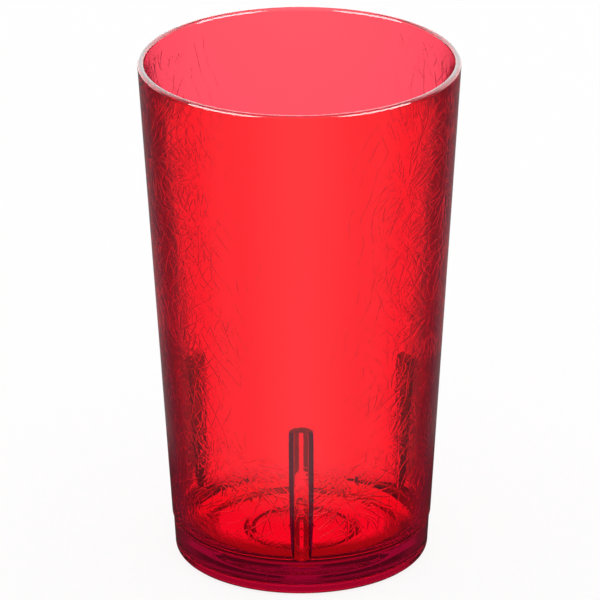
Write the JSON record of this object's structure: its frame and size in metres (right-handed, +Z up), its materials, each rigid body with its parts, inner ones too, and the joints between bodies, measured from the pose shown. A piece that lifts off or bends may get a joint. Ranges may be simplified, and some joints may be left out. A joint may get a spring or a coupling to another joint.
{
  "type": "drinking tumbler",
  "caption": "Clear red moulded tumbler: tapered round wall with rounded lip, smooth base band, shallow foot ring and half-round stacking ribs inside.",
  "frame": {"origin": "centre of the foot, on the surface that the tumbler stands on", "axes": "+Z up along the tumbler's axis; -Y towards the first stacking rib"},
  "size_m": [0.0758, 0.0758, 0.124],
  "materials": {
    "clear_red_plastic": "gloss"
  },
  "bodies": {
    "root": {"tumbler": "clear_red_plastic"}
  },
  "joints": []
}
